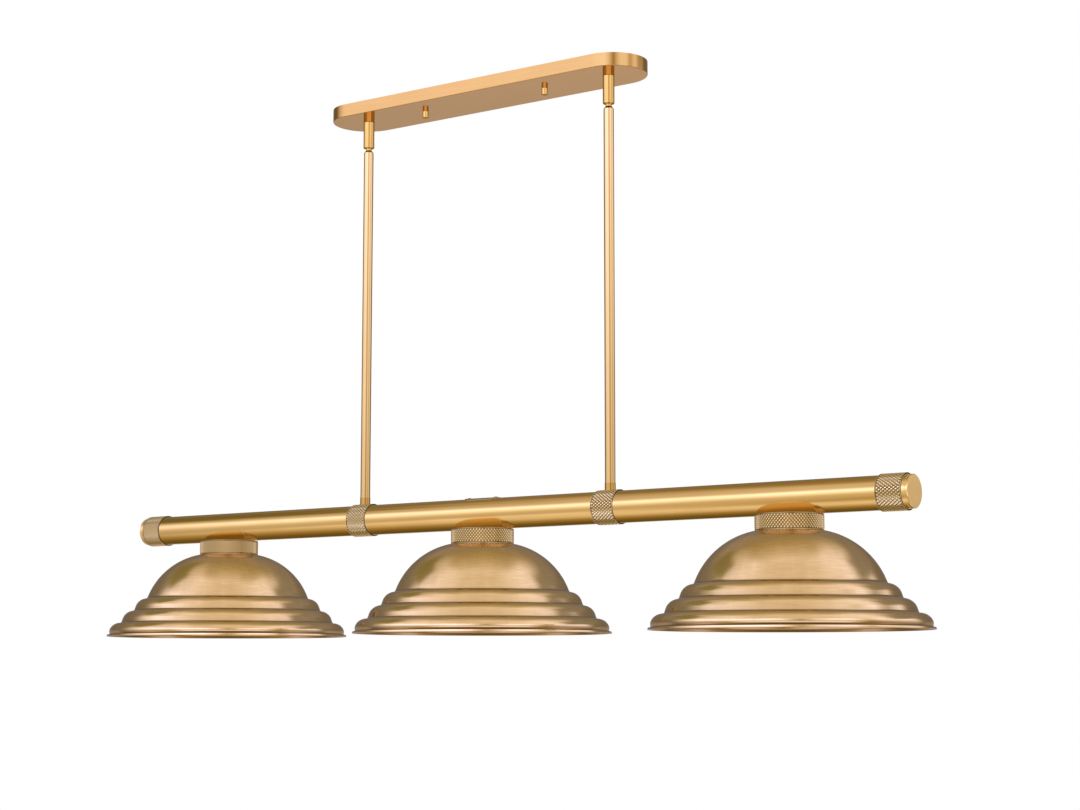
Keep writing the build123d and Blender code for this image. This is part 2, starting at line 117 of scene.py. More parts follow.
colour = add_node(
    grain, "Mix", {0: share, 6: given["Dark"], 7: given["Light"]}, data_type="RGBA"
).outputs[2]
offset = add_node(grain, "Math", {0: 0.5, 1: share}, operation="SUBTRACT").outputs[0]
rough = add_node(
    grain, "Math", {0: offset, 1: given["Spread"], 2: given["Roughness"]}, operation="MULTIPLY_ADD"
).outputs[0]
grain.links.new(colour, result["Color"])
grain.links.new(rough, result["Roughness"])
grain.links.new(fine, result["Height"])


def brushed(name, lines, light, dark, roughness, spread, relief, place=None):
    """A material with brushed grain, and its shader. Place is a function that adds its coordinates."""
    material = bpy.data.materials.new(name)
    material.use_nodes = True
    tree = material.node_tree
    shader = tree.nodes["Principled BSDF"]
    if place:
        where = place(tree)
    else:
        where = add_node(tree, "TexCoord").outputs["Object"]
    values = {"Lines": lines, "Light": light, "Dark": dark, "Roughness": roughness, "Spread": spread}
    finish = add_node(tree, "Group", {"Place": where, **values}, node_tree=grain).outputs
    bump = add_node(
        tree, "Bump", {"Strength": relief, "Distance": grain_depth, "Height": finish["Height"]}
    ).outputs["Normal"]
    tree.links.new(finish["Color"], shader.inputs["Base Color"])
    tree.links.new(finish["Roughness"], shader.inputs["Roughness"])
    tree.links.new(bump, shader.inputs["Normal"])
    return material, shader


def satin_brass(
    name, lines, roughness, light=brass_light, dark=brass_dark, edge=brass_edge, lacquer=lacquer_weight
):
    """Lacquered satin brass with that grain."""
    material, shader = brushed(name, lines, light, dark, roughness, satin_spread, satin_relief)
    shader.inputs["Metallic"].default_value = 1
    shader.inputs["Specular Tint"].default_value = edge
    shader.inputs["Coat Weight"].default_value = lacquer
    shader.inputs["Coat Roughness"].default_value = lacquer_roughness
    return material


def facing_up(tree):
    """How far the piece's own surface faces up, from -1 to 1."""
    normal = add_node(tree, "TexCoord").outputs["Normal"]
    return add_node(tree, "SeparateXYZ", {0: normal}).outputs["Z"]


def paint_shade(tree, share, tone):
    """Paints shade: multiplies that share of a darker tone into the material's colour."""
    base = tree.nodes["Principled BSDF"].inputs["Base Color"]
    plain = base.links[0].from_socket
    deeper = add_node(
        tree, "Mix", {0: share, 6: plain, 7: tone}, data_type="RGBA", blend_type="MULTIPLY"
    ).outputs[2]
    tree.links.new(deeper, base)


def finish_nodes(material, *names):
    """Gives those CAD nodes the material."""
    for name in names:
        cad_nodes[name].data.materials.clear()
        cad_nodes[name].data.materials.append(material)


def keep_from_reflections(*names):
    """Leaves those CAD nodes out of what the metal mirrors."""
    for name in names:
        cad_nodes[name].visible_glossy = False


canopy_brass = satin_brass(
    "canopy_brass", canopy_lines, canopy_roughness, canopy_light, canopy_dark, lacquer=canopy_lacquer
)
tree = canopy_brass.node_tree
# The upright side is painted darker, as shade.
level = add_node(tree, "Math", {0: facing_up(tree)}, operation="ABSOLUTE").outputs[0]
side_shade_share = add_node(tree, "Math", {0: 1, 1: level}, operation="SUBTRACT").outputs[0]
paint_shade(tree, side_shade_share, canopy_side_shade)
finish_nodes(canopy_brass, "canopy")
keep_from_reflections("canopy")

# Crossbar, studs, lock nuts, lamp pipes, washers and hex nuts: zinc plated steel, stamped or cut from
# bar. They sit inside the canopy, the tube and the necks, where a fitter screws them together.
zinc_light = (0.66, 0.67, 0.68, 1)
zinc_dark = (0.46, 0.47, 0.49, 1)
zinc_lines = (220, 220, 420)
zinc_roughness = 0.36
zinc_spread = 0.2
zinc_relief = 0.3
hardware = (
    "crossbar",
    "crossbar_studs",
    "stud_lock_nuts",
    "swivel_nipples",
    "swivel_lock_washers",
    "swivel_hex_nuts",
    "rod_nipples",
    "rod_saddle_washers",
    "rod_hex_nuts",
    "neck_nipples",
    "neck_saddle_washers",
    "neck_hex_nuts",
)

zinc, shader = brushed(
    "zinc_plate", zinc_lines, zinc_light, zinc_dark, zinc_roughness, zinc_spread, zinc_relief
)
shader.inputs["Metallic"].default_value = 1
finish_nodes(zinc, *hardware)
keep_from_reflections(*hardware)

# Earth screw: a steel screw dyed green, which marks the earth terminal on the crossbar.
# It is driven into a tapped hole beside the crossbar's middle.
green_light = (0.06, 0.30, 0.09, 1)
green_dark = (0.03, 0.19, 0.05, 1)
green_lines = (500, 500, 500)
green_roughness = 0.38
green_spread = 0.15
green_relief = 0.2

green_dye, shader = brushed(
    "green_dye", green_lines, green_light, green_dark, green_roughness, green_spread, green_relief
)
finish_nodes(green_dye, "ground_screw")
keep_from_reflections("ground_screw")

# Cap nuts and swivels: turned brass, polished and lacquered, with faint tool lines round upright axes.
# The nuts hold the canopy up, and each swivel's cap and collar hold the ball that a rod hangs from.
turned_lines = (60, 60, 2400)
turned_roughness = 0.1
turned_light = (0.67, 0.365, 0.085, 1)
turned_dark = (0.60, 0.325, 0.072, 1)
turned_edge = (0.45, 0.34, 0.18, 1)

turned_brass = satin_brass(
    "turned_brass", turned_lines, turned_roughness, turned_light, turned_dark, turned_edge
)
finish_nodes(
    turned_brass,
    "canopy_cap_nuts",
    "swivel_cap_left",
    "swivel_cap_right",
    "swivel_collar_left",
    "swivel_collar_right",
    "swivel_ball_left",
    "swivel_ball_right",
)

# Down rods: drawn brass pipe, polished along its length and lacquered.
# A turned plug in the top screws on the swivel's stem, and a turned coupling at the foot screws on the
# tube's pipe.
rod_lines = (900, 900, 9)
rod_roughness = 0.08
rod_light = (0.80, 0.505, 0.195, 1)
rod_dark = (0.72, 0.45, 0.165, 1)

drawn_brass = satin_brass("drawn_brass", rod_lines, rod_roughness, rod_light, rod_dark, turned_edge)
finish_nodes(drawn_brass, "down_rod_left", "down_rod_right")
finish_nodes(
    turned_brass, "rod_top_plug_left", "rod_top_plug_right", "rod_coupling_left", "rod_coupling_right"
)
keep_from_reflections("down_rod_left", "down_rod_right", "rod_coupling_left", "rod_coupling_right")

# Knurled bands and end rings: brass sleeves with rolled diamonds, painted dark in the grooves and at the
# ends, as shade.
# The bands carry the rods' feet round the tube, and the rings close the tube's two ends.
knurl_pitch = 4.8 * mm
knurl_rise = 6.2 * mm
knurl_depth = 0.8 * mm
knurl_flat = 0.46
knurl_sharp = radians(28)
land_width = 0.6 * mm
land_edge = 0.4 * mm
knurl_light = (0.98, 0.70, 0.34, 1)
knurl_dark = (0.90, 0.63, 0.28, 1)
knurl_groove_shade = (0.05, 0.03, 0.01, 1)
valley_shade = 0.78
end_shade = 1
knurl_edge = (0.62, 0.52, 0.36, 1)
knurl_lines = (600, 600, 600)
knurl_roughness = 0.16
knurl_spread = 0.1
knurl_relief = 0.1

knurl_brass, shader = brushed(
    "knurled_brass", knurl_lines, knurl_light, knurl_dark, knurl_roughness, knurl_spread, knurl_relief
)
tree = knurl_brass.node_tree
crown_colour = shader.inputs["Base Color"].links[0].from_socket
# The knurl's valleys and the sleeves' ends are painted dark, as shade.
painted_shade = add_node(tree, "Attribute", attribute_name="painted_shade").outputs["Fac"]
colour = add_node(
    tree, "Mix", {0: painted_shade, 6: crown_colour, 7: knurl_groove_shade}, data_type="RGBA"
).outputs[2]
tree.links.new(colour, shader.inputs["Base Color"])
shader.inputs["Metallic"].default_value = 1
shader.inputs["Specular Tint"].default_value = knurl_edge


def new_piece(name, points, faces, material, sharp_angle):
    """A smooth shaded object with that mesh, whose edges are sharp beyond that angle."""
    mesh = bpy.data.meshes.new(name)
    mesh.from_pydata(points, [], faces)
    mesh.shade_smooth()
    mesh.set_sharp_from_angle(angle=sharp_angle)
    mesh.materials.append(material)
    piece = bpy.data.objects.new(name, mesh)
    bpy.context.scene.collection.objects.link(piece)
    return piece


def knurled(name, place, radius, low, high, back):
    """A sleeve with diamonds from low to high along its axis.

    Place turns (radius, angle, along) into a point. Back is the rest of the outline, as
    (radius, along, dark) from the diamonds' low end round to their high end. The dark points
    and the diamonds' valleys are painted dark, as shade.
    """
    around = round(2 * pi * radius / knurl_pitch)
    rows = 2 * round((high - low) / knurl_rise)
    columns = 2 * around
    points = []
    faces = []
    valleys = {}

    def put(reach, column, along):
        points.append(place(reach, pi * column / around, along))
        return len(points) - 1

    def along_row(row):
        return low + (high - low) * row / rows

    for row in range(rows + 1):
        for column in range((row + 1) % 2, columns, 2):
            valleys[column, row] = put(radius - knurl_depth, column, along_row(row))
    for row in range(rows + 1):
        for column in range(row % 2, columns, 2):
            east = valleys[(column + 1) % columns, row]
            west = valleys[(column - 1) % columns, row]
            if row == 0:
                faces.append((west, east, valleys[column, 1]))
            elif row == rows:
                faces.append((east, west, valleys[column, rows - 1]))
            else:
                north = valleys[column, row + 1]
                south = valleys[column, row - 1]
                crown_east = put(radius, column + knurl_flat, along_row(row))
                crown_north = put(radius, column, along_row(row + knurl_flat))
                crown_west = put(radius, column - knurl_flat, along_row(row))
                crown_south = put(radius, column, along_row(row - knurl_flat))
                faces.append((east, north, crown_north, crown_east))
                faces.append((north, west, crown_west, crown_north))
                faces.append((west, south, crown_south, crown_west))
                faces.append((south, east, crown_east, crown_south))
                faces.append((crown_east, crown_north, crown_west, crown_south))
    ends = []
    rings = [[valleys[column, 0] for column in range(1, columns, 2)]]
    for reach, along, dark in back:
        ring = [put(reach, column, along) for column in range(1, columns, 2)]
        rings.append(ring)
        if dark:
            ends.extend(ring)
    rings.append([valleys[column, rows] for column in range(1, columns, 2)])
    for ring, following in zip(rings, rings[1:]):
        for i in range(around):
            j = (i + 1) % around
            faces.append((ring[i], following[i], following[j], ring[j]))
    sleeve = new_piece(name, points, faces, knurl_brass, knurl_sharp)
    # Marks the valleys and the dark outline points, which are painted dark as shade.
    painted_shade = sleeve.data.attributes.new("painted_shade", "FLOAT", "POINT")
    for point in valleys.values():
        painted_shade.data[point].value = valley_shade
    for point in ends:
        painted_shade.data[point].value = end_shade
    return sleeve


tube_low, tube_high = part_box("main_tube")
tube_radius = (tube_high.z - tube_low.z) / 2
tube_axis = (tube_high.z + tube_low.z) / 2

for node in ("rod_band_left", "rod_band_right", "end_ring_left", "end_ring_right"):
    low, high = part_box(node)
    radius = (high.z - low.z) / 2
    length = high.x - low.x

    def on_tube(reach, angle, along):
        return (low.x + along, reach * cos(angle), tube_axis + reach * sin(angle))

    sleeve = knurled(
        node + "_knurled",
        on_tube,
        radius,
        land_width,
        length - land_width,
        [
            (radius, land_width, False),
            (radius, land_edge, False),
            (radius - land_edge, 0, True),
            (tube_radius, 0, True),
            (tube_radius, length, True),
            (radius - land_edge, length, True),
            (radius, length - land_edge, False),
            (radius, length - land_width, False),
        ],
    )
    sleeve.visible_glossy = False
    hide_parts(node)
    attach(sleeve, "hanging_light")

# Main tube and its wiring cover: drawn brass pipe brushed along its length, with a thin cover over the
# slot in its top. Two small screws hold the cover on. The tube's top and underside are painted darker,
# as shade, and the cover is painted dark, as the shade line round it.
tube_lines = (8, 900, 900)
tube_roughness = 0.15
tube_under_shade = (0.74, 0.69, 0.55, 1)
tube_under_shade_span = (-0.24, -0.39)
tube_over_shade = (0.75, 0.73, 0.70, 1)
tube_over_shade_span = (0.2, 0.36)
cover_shade_light = (0.50, 0.31, 0.10, 1)
cover_shade_dark = (0.42, 0.25, 0.08, 1)


def paint_shade_above_and_below(material):
    """Paints shade: darkens the material's colour towards its top and underside."""
    tree = material.node_tree
    facing = facing_up(tree)
    for (start, end), tone in ((tube_under_shade_span, tube_under_shade), (tube_over_shade_span, tube_over_shade)):
        share = add_node(
            tree, "MapRange", {"Value": facing, "From Min": start, "From Max": end}
        ).outputs[0]
        paint_shade(tree, share, tone)


tube_brass = satin_brass("tube_brass", tube_lines, tube_roughness)
# The tube's top and underside are painted darker, as shade.
paint_shade_above_and_below(tube_brass)
finish_nodes(tube_brass, "main_tube")
# The cover and its screws are painted dark, as the shade line round the cover.
cover_brass = satin_brass("cover_brass", tube_lines, tube_roughness, cover_shade_light, cover_shade_dark)
finish_nodes(cover_brass, "access_cover", "access_cover_screws")
keep_from_reflections("main_tube", "access_cover", "access_cover_screws")

# End caps: turned brass plugs pressed into the tube's ends, with a groove before the end disc.
# They close the wireway. Tool lines run round them, and their top and underside are painted darker, as
# shade, as the tube's are.
cap_lines = (2400, 60, 60)
cap_roughness = 0.15
cap_light = (1.0, 0.64, 0.215, 1)
cap_dark = (0.94, 0.59, 0.185, 1)

cap_brass = satin_brass("cap_brass", cap_lines, cap_roughness, cap_light, cap_dark)
# The caps' top and underside are painted darker, as shade.
paint_shade_above_and_below(cap_brass)
finish_nodes(cap_brass, "end_cap_left", "end_cap_right")
keep_from_reflections("end_cap_left", "end_cap_right")

# Shade necks: turned brass cups with the same rolled diamonds, painted dark in the grooves and at the foot
# as shade, saddled to the underside of the tube.
# Each hides the lamp pipe, its nut and the top of a socket.
neck_wall = 4.5 * mm
neck_plate = 4 * mm
neck_pipe_hole = 5.1 * mm
saddle_rings = (0.4, 0.7)

for node in ("shade_neck_left", "shade_neck_middle", "shade_neck_right"):
    low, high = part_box(node)
    radius = (high.x - low.x) / 2
    height = high.z - low.z
    middle = (high.x + low.x) / 2

    def under_tube(reach, angle, along):
        y = reach * sin(angle)
        z = low.z + along
        if abs(y) < tube_radius:
            z = min(z, tube_axis - sqrt(tube_radius**2 - y**2))
        return (middle + reach * cos(angle), y, z)

    neck = knurled(
        node + "_knurled",
        under_tube,
        radius,
        land_width,
        height - land_width,
        [
            (radius, land_width, False),
            (radius, land_edge, False),
            (radius - land_edge, 0, True),
            (radius - neck_wall, 0, True),
            (radius - neck_wall, height - neck_plate, False),
            (neck_pipe_hole, height - neck_plate, False),
            (neck_pipe_hole, height, False),
            *((radius * share, height, False) for share in saddle_rings),
            (radius - land_edge, height, False),
            (radius, height - land_edge, False),
            (radius, height - land_width, False),
        ],
    )
    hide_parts(node)
    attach(neck, "hanging_light")

# Shades: brass sheet spun over a former, aged brown and brushed while it turns, with a bead rolled on
# the rim. Brown patina stays in the creases and above the bead, deepened there by painted shade, and the
# inside is painted dark, as shade. Each hangs on its socket, clamped between the socket's flange and
# the ring below.
sheet = 1 * mm
socket_way = 19.3 * mm
dome_curve = 115.7 * mm
dome_base = 137 * mm
dome_height = 75.5 * mm
dome_points = 26
step_tread = 21.3 * mm
step_rise = 21 * mm
rolls = (
    (18.8 * mm, 13.3 * mm, 19.9 * mm),
    (18.8 * mm, 13.3 * mm, 19.9 * mm),
    (18.6 * mm, 10.2 * mm, 17.8 * mm),
)
roll_points = 8
crease_reach = 2.8 * mm
foot_curve = 10 * mm
foot_start = radians(24)
foot_turn = radians(46)
foot_points = 8
bead_width = 3 * mm
bead_height = 3.4 * mm
bead_slope = 0.75 * mm
bead_curve = 0.5 * mm
bead_lap = 0.2 * mm
bead_points = 7
shade_segments = 224
shade_sharp = radians(50)
antique_light = (0.94, 0.64, 0.32, 1)
antique_dark = (0.78, 0.52, 0.245, 1)
antique_edge = (0.80, 0.70, 0.60, 1)
patina_and_shade_colour = (0.30, 0.16, 0.055, 1)
inside_painted_shade = 0.8
crease_patina_and_shade = (0.1, 0.35, 0.7, 0.75, 0.45, 0.1)
shade_lines = (5, 5, 330)
shade_roughness = 0.16
shade_spread = 0.1
shade_relief = 0.1
brush_stretch = 0.4
brush_turn = 0.25


def round_the_axis(tree):
    """Coordinates for grain that runs round the shade: the direction from its axis, and the way down."""
    spot = add_node(tree, "TexCoord").outputs["Object"]
    flat = add_node(tree, "VectorMath", {0: spot, 1: (1, 1, 0)}, operation="MULTIPLY").outputs[0]
    across = add_node(tree, "VectorMath", {0: flat}, operation="LENGTH").outputs["Value"]
    facing = add_node(tree, "VectorMath", {0: flat}, operation="NORMALIZE").outputs[0]
    parts = add_node(tree, "SeparateXYZ", {0: facing}).outputs
    height = add_node(tree, "SeparateXYZ", {0: spot}).outputs["Z"]
    down = add_node(tree, "Math", {0: across, 1: height}, operation="SUBTRACT").outputs[0]
    return add_node(tree, "CombineXYZ", {0: parts["X"], 1: parts["Y"], 2: down}).outputs[0]


antique_brass, shader = brushed(
    "antique_brass",
    shade_lines,
    antique_light,
    antique_dark,
    shade_roughness,
    shade_spread,
    shade_relief,
    round_the_axis,
)
tree = antique_brass.node_tree
sheet_colour = shader.inputs["Base Color"].links[0].from_socket
# Patina with painted shade in the creases and above the bead, and painted shade inside.
patina_and_shade = add_node(tree, "Attribute", attribute_name="patina_and_shade").outputs["Fac"]
colour = add_node(
    tree, "Mix", {0: patina_and_shade, 6: sheet_colour, 7: patina_and_shade_colour}, data_type="RGBA"
).outputs[2]
tree.links.new(colour, shader.inputs["Base Color"])
tangent = add_node(tree, "Tangent", direction_type="RADIAL", axis="Z")
tree.links.new(tangent.outputs[0], shader.inputs["Tangent"])
shader.inputs["Metallic"].default_value = 1
shader.inputs["Specular Tint"].default_value = antique_edge
shader.inputs["Anisotropic"].default_value = brush_stretch
shader.inputs["Anisotropic Rotation"].default_value = brush_turn


def bowed(start, end, curve, count):
    """Points from start to end, which is left out, on an arc of that radius that bows up and outwards."""
    start = Vector(start)
    end = Vector(end)
    chord = end - start
    outwards = Vector((-chord.y, chord.x)).normalized()
    centre = (start + end) / 2 - outwards * sqrt(curve**2 - chord.length_squared / 4)
    turn = (start - centre).angle_signed(end - centre)
    spoke = start - centre
    arc = []
    for i in range(count):
        angle = -turn * i / count
        x = spoke.x * cos(angle) - spoke.y * sin(angle)
        y = spoke.x * sin(angle) + spoke.y * cos(angle)
        arc.append(centre + Vector((x, y)))
    return arc


def eased(before, corner, after):
    """A small round in place of an outline's corner, with one point for each tone of a crease."""
    first = corner + (before - corner).normalized() * crease_reach
    last = corner + (after - corner).normalized() * crease_reach
    steps = len(crease_patina_and_shade) - 1
    arc = []
    for i in range(steps + 1):
        t = i / steps
        arc.append(first * (1 - t) ** 2 + corner * (2 * t * (1 - t)) + last * t**2)
    return arc


def turned(name, outline_at, segments, material, sharp_angle):
    """A closed outline turned round the Z axis. Outline_at gives its (radius, height) points at an angle."""
    points = []
    faces = []
    for k in range(segments):
        angle = 2 * pi * k / segments
        outline = outline_at(angle)
        count = len(outline)
        points.extend((reach * cos(angle), reach * sin(angle), height) for reach, height in outline)
        here = k * count
        there = (k + 1) % segments * count
        for i in range(count):
            j = (i + 1) % count
            faces.append((here + i, here + j, there + j, there + i))
    return new_piece(name, points, faces, material, sharp_angle)


shade_low, shade_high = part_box("shade_middle")
neck_low, neck_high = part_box("shade_neck_middle")
rim_radius = min(shade_high.x - shade_low.x, shade_high.y - shade_low.y) / 2
neck_radius = (neck_high.x - neck_low.x) / 2
rim_foot = shade_low.z - shade_high.z
dome_end = Vector((dome_base, -dome_height))
outer = [Vector((socket_way, 0))]
outer += bowed((neck_radius, 0), dome_end, dome_curve, dome_points)
outer_patina_and_shade = [0] * len(outer)
corner = dome_end
for roll_tread, roll_rise, roll_curve in rolls:
    roll_end = corner + Vector((roll_tread, -roll_rise))
    roll = bowed(corner, roll_end, roll_curve, roll_points)
    outer += eased(outer[-1], corner, roll[1]) + roll[2:] + [roll_end]
    outer_patina_and_shade += list(crease_patina_and_shade) + [0] * (roll_points - 1)
    corner = corner + Vector((step_tread, -step_rise))
foot_centre = roll_end - foot_curve * Vector((cos(foot_start), sin(foot_start)))
for i in range(1, foot_points + 1):
    angle = foot_start - foot_turn * i / foot_points
    outer.append(foot_centre + foot_curve * Vector((cos(angle), sin(angle))))
    outer_patina_and_shade.append((i / foot_points) ** 2)
bead_top = rim_foot + bead_height
bead_root = rim_radius - bead_width + bead_lap
outer.append(Vector((bead_root, bead_top)))
outer_patina_and_shade.append(1)
inner = []
for before, point, after in zip(outer, outer[1:], outer[2:]):
    along = (after - before).normalized()
    inner.append(point + Vector((along.y, -along.x)) * sheet)
bead = []
for centre_x, centre_y, start in (
    (rim_radius - bead_slope - bead_curve, bead_top - bead_curve, pi / 2),
    (rim_radius - bead_curve, rim_foot + bead_curve, 0),
    (rim_radius - bead_width + bead_curve, rim_foot + bead_curve, -pi / 2),
):
    for i in range(bead_points):
        angle = start - pi / 2 * i / (bead_points - 1)
        bead.append(Vector((centre_x + bead_curve * cos(angle), centre_y + bead_curve * sin(angle))))
shade_outline = outer + bead + inner[::-1] + [Vector((socket_way, -sheet))]
lampshade_patina_and_shade = outer_patina_and_shade + [0] * (2 * bead_points)
# The inside of the shade is painted dark, as shade.
lampshade_patina_and_shade += [inside_painted_shade] * (len(shade_outline) - len(lampshade_patina_and_shade))

for side in ("left", "middle", "right"):
    low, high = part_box("shade_" + side)
    shade = turned(
        "spun_shade_" + side, lambda angle: shade_outline, shade_segments, antique_brass, shade_sharp
    )
    shade.location = ((low.x + high.x) / 2, 0, high.z)
    patina_and_shade = shade.data.attributes.new("patina_and_shade", "FLOAT", "POINT")
    patina_and_shade.data.foreach_set("value", lampshade_patina_and_shade * shade_segments)
    shade.visible_glossy = False
    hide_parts("shade_" + side)
    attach(shade, "hanging_light")

# Sockets: glazed porcelain bodies with rolled brass screw shells and centre contacts, as for E26 lamps.
# A zinc plated ring screws on each body and clamps the shade.
porcelain_light = (0.90, 0.885, 0.84, 1)
porcelain_dark = (0.83, 0.81, 0.75, 1)
porcelain_lines = (40, 40, 40)
porcelain_roughness = 0.2
porcelain_spread = 0.1
porcelain_relief = 0.1
glaze_weight = 0.5
glaze_roughness = 0.05
shell_light = (0.80, 0.66, 0.36, 1)
shell_dark = (0.68, 0.53, 0.26, 1)
shell_lines = (300, 300, 900)
shell_roughness = 0.28
shell_spread = 0.14
shell_relief = 0.2
thread_pitch = 3.629 * mm
thread_depth = 0.55 * mm
shell_thickness = 0.35 * mm
shell_rows = 56
shell_segments = 40
shell_sharp = radians(60)

porcelain, shader = brushed(
    "porcelain",
    porcelain_lines,
    porcelain_light,
    porcelain_dark,
    porcelain_roughness,
    porcelain_spread,
    porcelain_relief,
)
shader.inputs["Coat Weight"].default_value = glaze_weight
shader.inputs["Coat Roughness"].default_value = glaze_roughness
shell_brass, shader = brushed(
    "shell_brass", shell_lines, shell_light, shell_dark, shell_roughness, shell_spread, shell_relief
)
shader.inputs["Metallic"].default_value = 1
finish_nodes(shell_brass, "socket_contacts")

for side in ("left", "middle", "right"):
    finish_nodes(porcelain, "socket_body_" + side)
    finish_nodes(zinc, "shade_ring_" + side)
    keep_from_reflections("socket_body_" + side, "shade_ring_" + side)
    low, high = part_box("socket_shell_" + side)
    outside = (high.x - low.x) / 2
    length = high.z - low.z

    def thread_at(angle):
        wave = []
        for row in range(shell_rows + 1):
            height = -length * row / shell_rows
            crest = cos(2 * pi * height / thread_pitch - angle)
            wave.append((outside - thread_depth * (1 - crest), height))
        return wave + [(reach - shell_thickness, height) for reach, height in reversed(wave)]

    shell = turned("screw_shell_" + side, thread_at, shell_segments, shell_brass, shell_sharp)
    shell.location = ((low.x + high.x) / 2, 0, high.z)
    shell.visible_glossy = False
    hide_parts("socket_shell_" + side)
    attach(shell, "hanging_light")

# Floor: a pale matt disc, a ceiling's height below the canopy, which takes the soft shadow.
# It fades to white at its rim for the camera, and is clear from beneath.
floor_height = -2.4
floor_radius = 7
floor_segments = 96
floor_sharp = radians(30)
floor_colour = (0.80, 0.79, 0.775, 1)
floor_roughness = 0.8
floor_gloss = 0.2
fade_start = 2.5
fade_end = 6

floor_points = [(0, 0, floor_height)]
floor_faces = []
for k in range(floor_segments):
    angle = 2 * pi * k / floor_segments
    floor_points.append((floor_radius * cos(angle), floor_radius * sin(angle), floor_height))
    floor_faces.append((0, 1 + k, 1 + (k + 1) % floor_segments))
floor_paint = bpy.data.materials.new("floor_paint")
floor_paint.use_nodes = True
tree = floor_paint.node_tree
matt = tree.nodes["Principled BSDF"]
matt.inputs["Base Color"].default_value = floor_colour
matt.inputs["Roughness"].default_value = floor_roughness
matt.inputs["Specular IOR Level"].default_value = floor_gloss
spot = add_node(tree, "NewGeometry").outputs
light_path = add_node(tree, "LightPath").outputs
across = add_node(
    tree, "VectorMath", {0: spot["Position"], 1: (1, 1, 0)}, operation="MULTIPLY"
).outputs[0]
reach = add_node(tree, "VectorMath", {0: across}, operation="LENGTH").outputs["Value"]
fade = add_node(
    tree,
    "MapRange",
    {"Value": reach, "From Min": fade_start, "From Max": fade_end},
    interpolation_type="SMOOTHSTEP",
).outputs[0]
fade = add_node(tree, "Math", {0: fade, 1: light_path["Is Camera Ray"]}, operation="MULTIPLY").outputs[0]
white = add_node(tree, "Emission", {"Color": (1, 1, 1, 1), "Strength": 1}).outputs[0]
clear = add_node(tree, "BsdfTransparent").outputs[0]
faded = add_node(tree, "MixShader", {0: fade, 1: matt.outputs[0], 2: white}).outputs[0]
one_sided = add_node(tree, "MixShader", {0: spot["Backfacing"], 1: faded, 2: clear}).outputs[0]
tree.links.new(one_sided, tree.nodes["Material Output"].inputs["Surface"])
floor_paint.cycles.emission_sampling = "NONE"
floor = new_piece("floor", floor_points, floor_faces, floor_paint, floor_sharp)
floor.visible_glossy = False

# Studio tent: a round tent of lit cloth about the object, seen only in the metal's reflections.
# Its brightness follows the turn in degrees from the front, where the lens stands, and the rise above
# the horizon. Dark flags hang at the right and left, and each span is where one level gives way.
tent_radius = 6
tent_centre = (0, 0, -0.6)
tent_segments = 64
tent_rings = 32
front_azimuth = 37
full_turn = (-180, 180)
full_rise = (-1, 1)
wall_levels = (
    (-128, 0.2),
    (-114, 0.35),
    (-102, 0.66),
    (-85, 1.0),
    (-50, 1.06),
    (-22, 1.08),
    (-9, 0.84),
    (4, 0.38),
    (15, 0.74),
    (26, 0.94),
    (44, 0.94),
    (58, 0.56),
    (70, 0.84),
    (96, 0.88),
    (108, 0.84),
    (120, 0.3),
    (132, 0.2),
)
rise_levels = (
    (-0.28, 0.62),
    (-0.09, 0.70),
    (0.03, 0.88),
    (0.16, 1.18),
    (0.36, 1.62),
    (0.54, 1.18),
)
back_levels = (
    (-0.6, 0.17),
    (-0.4, 0.45),
    (-0.27, 0.74),
    (-0.1, 0.5),
    (0.08, 0.22),
    (0.35, 0.25),
    (0.6, 0.34),
)
back_turn = (110, 128)
high_levels = (
    (-180, 0.36),
    (-150, 0.36),
    (-135, 0.50),
    (-120, 0.66),
    (-105, 0.74),
    (-86, 0.90),
    (-70, 1.0),
    (-50, 0.92),
    (-30, 0.80),
    (15, 0.80),
    (35, 0.86),
    (50, 0.95),
    (65, 1.02),
    (86, 1.05),
    (105, 0.86),
    (120, 0.66),
    (135, 0.45),
    (150, 0.36),
    (180, 0.36),
)
high_rise = (0.45, 0.6)
crown_levels = (
    (-0.5, 0.40),
    (-0.34, 0.42),
    (-0.2, 0.46),
    (0.0, 0.58),
    (0.2, 0.72),
    (0.34, 0.88),
    (0.5, 0.85),
)
crown_rise = (0.84, 0.94)
ground_levels = (
    (-0.87, 0.16),
    (-0.54, 0.27),
    (-0.27, 0.51),
    (-0.1, 0.84),
    (0.05, 1.19),
    (0.2, 1.24),
    (0.35, 0.68),
    (0.8, 0.27),
)
ground_rise = (-0.28, -0.48)
apron_level = 1.4
apron_nearness = (0.55, 0.8)
apron_rise = (0, -0.1)
right_flag_level = 0.3
right_flag_turn = (76, 94)
right_flag_rise = (0.28, 0.42)
right_flag_high_turn = (84, 100)
right_flag_top = (0.6, 0.76)
left_flag_level = 0.26
left_flag_blue = 0.5
left_flag_near = (-98, -110)
left_flag_far = (-142, -154)
left_flag_foot = (0.44, 0.54)
left_flag_top = (0.7, 0.8)
front_green = (0.24, 0.76)
front_blue = (1.2, -0.02)
side_green = (0.06, 0.98)
side_blue = (0.6, 0.85)
side_turn = (35, 115)
side_top = (0.5, 1)
side_foot = (-0.5, -0.35)

